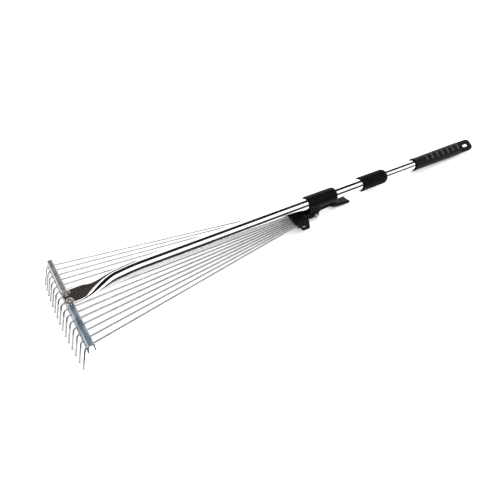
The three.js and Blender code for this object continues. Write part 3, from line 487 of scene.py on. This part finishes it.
def foot_ring(x):
    """Section of the main tube at x: round behind the foot, squeezed flat at its end."""
    round_share = smoothstep(x, FOOT_FLAT_END_X, FOOT_ROUND_X)
    points = []
    for j in range(TUBE_SIDES):
        angle = 2 * math.pi * (j + 0.5) / TUBE_SIDES
        c, s = math.cos(angle), math.sin(angle)
        flat_s = min(1.0, max(-1.0, FOOT_EDGE_RISE * s))
        y = c * mix(FOOT_HALF_WIDTH, MAIN_R - SKIN_INSET, round_share)
        z = mix(PAD_CENTRE_Z, POLE_Z, smoothstep(x, FOOT_FLAT_END_X, FOOT_RISE_END_X))
        z += mix(FOOT_HALF_THICKNESS * flat_s, (MAIN_R - SKIN_INSET) * s, round_share)
        points.append((x, y, z))
    return points


def make_main_tube():
    fold = 0.5 * MM
    stations = [FOOT_START_X, FOOT_START_X + fold, FOOT_FLAT_END_X]
    steps = 72
    stations += [mix(FOOT_FLAT_END_X, FOOT_RISE_END_X, (i + 1) / steps) for i in range(steps)]
    straight = 24
    end = MAIN_END_X - 0.3 * MM
    stations += [mix(FOOT_RISE_END_X, end, (i + 1) / straight) for i in range(straight)]
    rings = [foot_ring(x) for x in stations]
    rings.append(circle(MAIN_END_X, MAIN_R - 0.3 * MM, TUBE_SIDES))
    rings.append(circle(MAIN_END_X, MAIN_BORE_R, TUBE_SIDES))
    rings.append(circle(MAIN_BORE_START_X, MAIN_BORE_R, TUBE_SIDES))
    add_piece("main_tube_polished", to_row(grid_mesh("main_tube_polished", rings)), "main_tube")


def make_upper_tube():
    edge = 0.2 * MM
    rings = [circle(UPPER_START_X, UPPER_R - edge, TUBE_SIDES)]
    steps = 24
    for i in range(steps + 1):
        rings.append(circle(mix(UPPER_START_X + edge, UPPER_END_X - edge, i / steps), UPPER_R, TUBE_SIDES))
    rings.append(circle(UPPER_END_X, UPPER_R - edge, TUBE_SIDES))
    rings.append(circle(UPPER_END_X, UPPER_BORE_R, TUBE_SIDES))
    rings.append(circle(UPPER_START_X, UPPER_BORE_R, TUBE_SIDES))
    add_piece("upper_tube_polished", to_row(ring_mesh("upper_tube_polished", rings)), "upper_tube")


# ---- tines ---------------------------------------------------------------------------------------

WIRE_SIDES = 20
BEND_STEPS = 14


def bar_y(tine):
    return (MIDDLE_TINE - tine) * TINE_PITCH


def pivot_y(tine):
    return bar_y(tine) * (FAN_APEX_X - PIVOT_X) / FAN_APEX_X


def closed_angle(tine):
    return math.atan(bar_y(tine) / FAN_APEX_X)


def bent_path(corners, radii):
    """Points and directions along straight runs, with each inner corner rounded."""
    ways = [(corners[i + 1] - corners[i]).normalized() for i in range(len(corners) - 1)]
    stations = [(corners[0], ways[0])]
    for i in range(1, len(corners) - 1):
        into, out, radius = ways[i - 1], ways[i], radii[i - 1]
        turn = into.angle(out)
        start = corners[i] - into * radius * math.tan(turn / 2)
        side = (out - into * out.dot(into)).normalized()
        for k in range(BEND_STEPS + 1):
            a = turn * k / BEND_STEPS
            point = start + into * radius * math.sin(a) + side * radius * (1 - math.cos(a))
            stations.append((point, into * math.cos(a) + side * math.sin(a)))
    stations.append((corners[-1], ways[-1]))
    return stations


def wire_rings(stations, side):
    """Round sections along a path in a vertical plane whose normal is side."""
    rings = []
    for point, way, radius in stations:
        up = way.cross(side).normalized()
        ring = []
        for j in range(WIRE_SIDES):
            a = 2 * math.pi * j / WIRE_SIDES
            ring.append(point + radius * (math.cos(a) * side + math.sin(a) * up))
        rings.append(ring)
    return rings


def make_tine(tine):
    angle = closed_angle(tine)
    heading = Vector((-math.cos(angle), math.sin(angle), 0))
    side = Vector((math.sin(angle), math.cos(angle), 0))
    pivot = Vector((PIVOT_X, pivot_y(tine), 0))
    set_back = HOOK_ARC * (bar_y(tine) / bar_y(1)) ** 2
    hook = (PIVOT_X - HOOK_CORNER_X - set_back) / math.cos(angle)

    def place(s, z):
        return pivot + heading * s + Vector((0, 0, z))

    corners = [place(0, -PIVOT_PIN_DROP), place(0, 0), place(hook, 0)]
    corners.append(place(hook + HOOK_FORWARD, -HOOK_DROP))
    path = bent_path(corners, [PIVOT_BEND_R, HOOK_BEND_R])
    chamfer = 0.25 * MM
    first, last = path[0], path[-1]
    ends_in = [(first[0], first[1], WIRE_R - chamfer), (first[0] + first[1] * chamfer, first[1], WIRE_R)]
    ends_out = [(last[0] - last[1] * chamfer, last[1], WIRE_R), (last[0], last[1], WIRE_R - chamfer)]
    stations = ends_in + [(p, w, WIRE_R) for p, w in path[1:-1]] + ends_out
    node = f"tine_{tine:02d}"
    mesh = grid_mesh(node + "_wire", wire_rings(stations, side))
    add_piece(node + "_wire", to_row(mesh), node)


# ---- crossbar ------------------------------------------------------------------------------------


def fan_rate(tine):
    matched = MATCH_FRACTION * SLIDER_STROKE
    sideways = bar_y(tine) - pivot_y(tine)
    return (math.atan(sideways / (PIVOT_X - matched)) - closed_angle(tine)) / matched


def slot_span(tine, planes):
    """Least and greatest y that a wire fills at a flange over the whole stroke."""
    steps = 16
    ys = []
    for i in range(steps + 1):
        travel = SLIDER_STROKE * i / steps
        angle = closed_angle(tine) + fan_rate(tine) * travel
        ys += [pivot_y(tine) + (PIVOT_X - travel - x) * math.tan(angle) for x in planes]
    widest = closed_angle(tine) + fan_rate(tine) * SLIDER_STROKE
    margin = WIRE_R / math.cos(widest) + SLOT_SIDE_CLEARANCE
    return min(ys) - margin, max(ys) + margin


def bar_profile():
    """Outer face of the folded channel as (x, z) points, from the front lip over the top to the back."""
    lean = BAR_SPLAY / (BAR_TOP_Z - BAR_FOOT_Z)

    def front_x(z):
        return BAR_FRONT_X - lean * (BAR_TOP_Z - z)

    points = [(front_x(z), z) for z in (BAR_FOOT_Z, SLOT_BOTTOM_Z, SLOT_TOP_Z)]
    steps = 8
    for i in range(steps + 1):
        a = math.pi / 2 * i / steps
        x = BAR_FRONT_X + BAR_EDGE_R * (1 - math.cos(a))
        z = BAR_TOP_Z - BAR_EDGE_R * (1 - math.sin(a))
        points.append((x - lean * (BAR_TOP_Z - z) * math.cos(a), z))
    for i in range(steps + 1):
        a = math.pi / 2 * i / steps
        x = BAR_BACK_X - BAR_EDGE_R * (1 - math.sin(a))
        points.append((x, BAR_TOP_Z - BAR_EDGE_R * (1 - math.cos(a))))
    points += [(BAR_BACK_X, z) for z in (SLOT_TOP_Z, SLOT_BOTTOM_Z, BAR_FOOT_Z)]
    return points


def make_crossbar():
    profile = bar_profile()
    last = len(profile) - 1
    tines = range(1, TINE_COUNT + 1)
    front = [slot_span(t, (BAR_FRONT_X + BAR_WALL, BAR_FRONT_X - BAR_SPLAY)) for t in tines]
    back = [slot_span(t, (BAR_BACK_X, BAR_BACK_X - BAR_WALL)) for t in tines]
    stops = sorted({-BAR_HALF_LENGTH, BAR_HALF_LENGTH, *(y for s in front + back for y in s)})
    vertices = [(x, y, z) for y in stops for x, z in profile]
    faces = []
    for i in range(len(stops) - 1):
        middle = (stops[i] + stops[i + 1]) / 2
        for j in range(last):
            in_front = j == 1 and any(a < middle < b for a, b in front)
            in_back = j == last - 2 and any(a < middle < b for a, b in back)
            if in_front or in_back:
                continue
            k = i * (last + 1) + j
            faces.append((k, k + 1, k + last + 2, k + last + 1))
    mesh = mesh_from("crossbar_sheet", vertices, faces)
    obj = bpy.data.objects.new("crossbar_sheet", mesh)
    bpy.context.scene.collection.objects.link(obj)
    bm = bmesh.new()
    bm.from_mesh(mesh)
    bmesh.ops.recalc_face_normals(bm, faces=bm.faces)
    top = max(bm.faces, key=lambda f: f.calc_center_median().z)
    if top.normal.z < 0:
        bmesh.ops.reverse_faces(bm, faces=bm.faces)
    bm.to_mesh(mesh)
    bm.free()
    wall = obj.modifiers.new("wall", "SOLIDIFY")
    wall.thickness = BAR_WALL
    wall.offset = -1
    wall.use_even_offset = True
    edge = obj.modifiers.new("edge", "BEVEL")
    edge.width = 0.14 * MM
    edge.segments = 2
    edge.limit_method = "ANGLE"
    edge.angle_limit = math.radians(50)
    finished = baked(obj)
    bpy.data.objects.remove(obj)
    add_piece("crossbar_sheet", to_row(finished), "crossbar", 30)


def baked(obj):
    """The object's mesh with its modifiers applied."""
    graph = bpy.context.evaluated_depsgraph_get()
    graph.update()
    mesh = bpy.data.meshes.new_from_object(obj.evaluated_get(graph))
    mesh.name = obj.name
    return mesh


# ---- turned fasteners ----------------------------------------------------------------------------


def upright_rings(profile, x, y, count):
    rings = []
    for radius, z in profile:
        angles = [2 * math.pi * j / count for j in range(count)]
        rings.append([(x + radius * math.cos(a), y + radius * math.sin(a), z) for a in angles])
    return rings


def arc(centre_r, centre_z, radius_r, radius_z, start, end, steps):
    """Profile points on an ellipse's arc, with angles in degrees from the horizontal."""
    points = []
    for i in range(steps + 1):
        a = math.radians(mix(start, end, i / steps))
        points.append((centre_r + radius_r * math.cos(a), centre_z + radius_z * math.sin(a)))
    return points


def make_foot_fasteners():
    pad_top = PAD_CENTRE_Z + FOOT_HALF_THICKNESS
    washer_foot = pad_top + GAP
    washer_top = washer_foot + WASHER_THICKNESS
    head_foot = washer_top + 0.15 * MM
    for side, y in (("left", RIVET_Y), ("right", -RIVET_Y)):
        e = 0.2 * MM
        washer = [(RIVET_HOLE_R, washer_foot), (WASHER_R - e, washer_foot)]
        washer += arc(WASHER_R - e, washer_foot + e, e, e, -90, 0, 3)[1:]
        washer += arc(WASHER_R - e, washer_top - e, e, e, 0, 90, 3)
        washer.append((RIVET_HOLE_R, washer_top))
        mesh = ring_mesh(f"foot_washer_{side}_round", upright_rings(washer, RIVET_X, y, 64))
        add_piece(mesh.name, to_row(mesh), f"foot_washer_{side}")
        rivet = [(0.01 * MM, 3.5 * MM), (2.4 * MM, 3.5 * MM), (2.5 * MM, 3.7 * MM), (2.5 * MM, 4.6 * MM)]
        rivet += [(RIVET_SHANK_R, 4.7 * MM), (RIVET_SHANK_R, head_foot), (4.2 * MM, head_foot)]
        rivet += arc(RIVET_HEAD_R - 0.25 * MM, head_foot + 0.5 * MM, 0.25 * MM, 0.25 * MM, -60, 20, 3)
        rivet += arc(0, head_foot + 0.75 * MM, 4.36 * MM, 2.2 * MM, 5, 89.8, 14)
        mesh = grid_mesh(f"foot_rivet_{side}_domed", upright_rings(rivet, RIVET_X, y, 64))
        add_piece(mesh.name, to_row(mesh), f"foot_rivet_{side}")


# ---- moulded pieces ------------------------------------------------------------------------------


def remeshed(node, name, voxel, rounds):
    """A fine copy of a CAD node's solid in the fan's frame, with its edges softened."""
    mesh = frame["nodes"][node].data.copy()
    mesh.name = name
    mesh.transform(FAN_INVERSE)
    obj = bpy.data.objects.new(name, mesh)
    bpy.context.scene.collection.objects.link(obj)
    bm = bmesh.new()
    bm.from_mesh(mesh)
    bmesh.ops.remove_doubles(bm, verts=bm.verts, dist=0.001 * MM)
    bm.to_mesh(mesh)
    bm.free()
    fine = obj.modifiers.new("fine", "REMESH")
    fine.mode = "VOXEL"
    fine.voxel_size = voxel
    soft = obj.modifiers.new("soft", "SMOOTH")
    soft.factor = 0.5
    soft.iterations = rounds
    finished = baked(obj)
    bpy.data.objects.remove(obj)
    return finished


def points_of(mesh):
    co = np.zeros(len(mesh.vertices) * 3, np.float32)
    mesh.vertices.foreach_get("co", co)
    return co.reshape(-1, 3).astype(float)


def set_points(mesh, co):
    mesh.vertices.foreach_set("co", co.astype(np.float32).ravel())
    mesh.update()


def make_round(mesh, sides, start, end, r_low, roll=0.0):
    """Turns the flats of a many-sided outer face about the pole's axis into a true round."""
    co = points_of(mesh)
    y, z = co[:, 1], co[:, 2] - POLE_Z
    r = np.hypot(y, z)
    step = 2 * math.pi / sides
    phase = np.mod(np.arctan2(z, y) - roll, step) - step / 2
    stretch = np.cos(phase) / math.cos(step / 2)
    chosen = (co[:, 0] > start) & (co[:, 0] < end) & (r > r_low)
    co[chosen, 1] = y[chosen] * stretch[chosen]
    co[chosen, 2] = z[chosen] * stretch[chosen] + POLE_Z
    set_points(mesh, co)


def make_slider():
    body = remeshed("slider_body", "slider_body_moulded", 0.45 * MM, 4)
    make_round(body, SLEEVE["sides"], SLEEVE["start"], SLEEVE["end"], SLEEVE["r"] - 0.25 * MM)
    add_piece("slider_body_moulded", to_row(body), "slider_body", 50)
    holder = remeshed("tine_holder_plate", "tine_holder_moulded", 0.4 * MM, 3)
    add_piece("tine_holder_moulded", to_row(holder), "tine_holder_plate", 50)
    lever = remeshed("clamp_lever", "clamp_lever_moulded", 0.4 * MM, 5)
    add_piece("clamp_lever_moulded", to_row(lever), "clamp_lever", 50)


def make_grip():
    mesh = remeshed("grip", "grip_moulded", 0.45 * MM, 5)
    make_round(mesh, GRIP_BODY["sides"], GRIP_BODY["start"], GRIP_BODY["end"], 10.6 * MM, GRIP_ROLL)
    add_piece("grip_moulded", to_row(mesh), "grip", 60)


def collar_ring(x, radius, groove):
    """Section of the lock collar: soft grooves of the given depth between its ribs."""
    count = 320
    points = []
    for j in range(count):
        a = 2 * math.pi * (j + 0.5) / count
        wave = max(0.0, math.cos(COLLAR["ribs"] * a)) ** 1.5
        r = radius - groove * wave
        points.append((x, r * math.cos(a), POLE_Z + r * math.sin(a)))
    return points


def make_collar():
    start, end, r = COLLAR["start"], COLLAR["end"], COLLAR["r"]
    depth = 0.5 * MM
    rings = []
    edge = 0.8 * MM
    for i in range(4):
        a = math.pi / 2 * i / 4
        rings.append(collar_ring(start + edge * (1 - math.cos(a)), r - edge * (1 - math.sin(a)), 0))
    ribbed_start, ribbed_end = start + 5 * MM, end - 9 * MM
    rings.append(collar_ring(start + edge, r, 0))
    steps = 36
    for i in range(steps + 1):
        x = mix(ribbed_start - edge, ribbed_end + edge, i / steps)
        rise = smoothstep(x, ribbed_start - edge, ribbed_start + edge)
        fall = 1 - smoothstep(x, ribbed_end - edge, ribbed_end + edge)
        rings.append(collar_ring(x, r, depth * min(rise, fall)))
    for i in range(8):
        a = math.pi / 2 * i / 7
        rings.append(collar_ring(end - 5 * MM * (1 - math.sin(a)), r - 2.4 * MM * (1 - math.cos(a)), 0))
    bore = UPPER_R + GAP
    step_x = COLLET_START_X - GAP
    lip_x = end - COLLAR["lip"]
    inner = [(end, bore), (lip_x, bore), (lip_x, COLLAR["bore_r"]), (step_x, COLLAR["bore_r"])]
    inner += [(step_x, MAIN_R + GAP), (start, MAIN_R + GAP)]
    rings += [collar_ring(x, radius, 0) for x, radius in inner]
    mesh = ring_mesh("lock_collar_ribbed", rings)
    add_piece("lock_collar_ribbed", to_row(mesh), "lock_collar", 50)


make_main_tube()
make_upper_tube()
for tine_number in range(1, TINE_COUNT + 1):
    make_tine(tine_number)
make_crossbar()
make_foot_fasteners()
make_slider()
make_grip()
make_collar()


# ---- studio --------------------------------------------------------------------------------------


def plain_material(name, color, roughness):
    material = bpy.data.materials.new(name)
    material.use_nodes = True
    shader = material.node_tree.nodes["Principled BSDF"]
    shader.inputs["Base Color"].default_value = (*color, 1)
    shader.inputs["Roughness"].default_value = roughness
    return material


def quad(name, corners, material):
    mesh = mesh_from(name, corners, [(0, 1, 2, 3)])
    mesh.materials.append(material)
    obj = bpy.data.objects.new(name, mesh)
    bpy.context.scene.collection.objects.link(obj)
    return obj


def make_floor():
    half = 6.0
    z = -0.4 * MM
    corners = [(-half, -half, z), (half, -half, z), (half, half, z), (-half, half, z)]
    quad("floor", corners, plain_material("pale_floor", (0.93, 0.93, 0.93), 0.9))


def make_dark_card(name, corners, color=(0.0, 0.0, 0.0)):
    """A dark card that only reflections see."""
    card = quad(name, corners, plain_material(name, color, 1.0))
    card.visible_camera = False
    card.visible_diffuse = False
    card.visible_shadow = False
    card.visible_transmission = False


def make_softbox(name, place, size, power):
    light = bpy.data.lights.new(name, "AREA")
    light.shape = "RECTANGLE"
    light.size, light.size_y = size
    light.energy = power
    obj = bpy.data.objects.new(name, light)
    obj.location = place
    obj.rotation_euler = (-Vector(place)).to_track_quat("-Z", "Y").to_euler()
    bpy.context.scene.collection.objects.link(obj)


def make_world():
    world = bpy.data.worlds.new("white_studio")
    world.use_nodes = True
    background = world.node_tree.nodes["Background"]
    background.inputs["Color"].default_value = (1, 1, 1, 1)
    background.inputs["Strength"].default_value = 1.85
    bpy.context.scene.world = world


def make_camera():
    data = bpy.data.cameras.new("camera")
    data.lens = 34.411
    data.sensor_width = 36
    data.clip_start = 0.01
    camera = bpy.data.objects.new("camera", data)
    forward = Vector((0.42308, 0.67308, -0.60661)).normalized()
    right = Vector((0.84242, -0.53874, -0.01024)).normalized()
    up = right.cross(forward)
    turn = Matrix((right, up, -forward)).transposed().to_4x4()
    camera.matrix_world = FAN @ Matrix.Translation((-0.049085, -0.52283, 0.437771)) @ turn
    bpy.context.scene.collection.objects.link(camera)
    bpy.context.scene.camera = camera


make_world()
make_floor()
reach = 4.0
overhead = [(-reach, -0.85, 1.8), (reach, -0.85, 1.8), (reach, 0.78, 1.8), (-reach, 0.78, 1.8)]
beside = [(-reach, -0.105, 0.001), (reach, -0.105, 0.001), (reach, -1.6, 0.66), (-reach, -1.6, 0.66)]
make_dark_card("overhead_card", overhead)
make_dark_card("side_card", beside)
umber = (0.02, 0.014, 0.011)
foot_corners = [(-1.7, 1.5, 0.75), (0.1, 1.5, 0.75), (0.1, 1.5, 1.9), (-1.7, 1.5, 1.9)]
make_dark_card("foot_card", foot_corners, umber)
make_softbox("key", (-0.5, -1.6, 1.5), (1.6, 0.5), 18)
make_camera()

scene = bpy.context.scene
scene.view_settings.view_transform = "Standard"
scene.view_settings.look = "None"
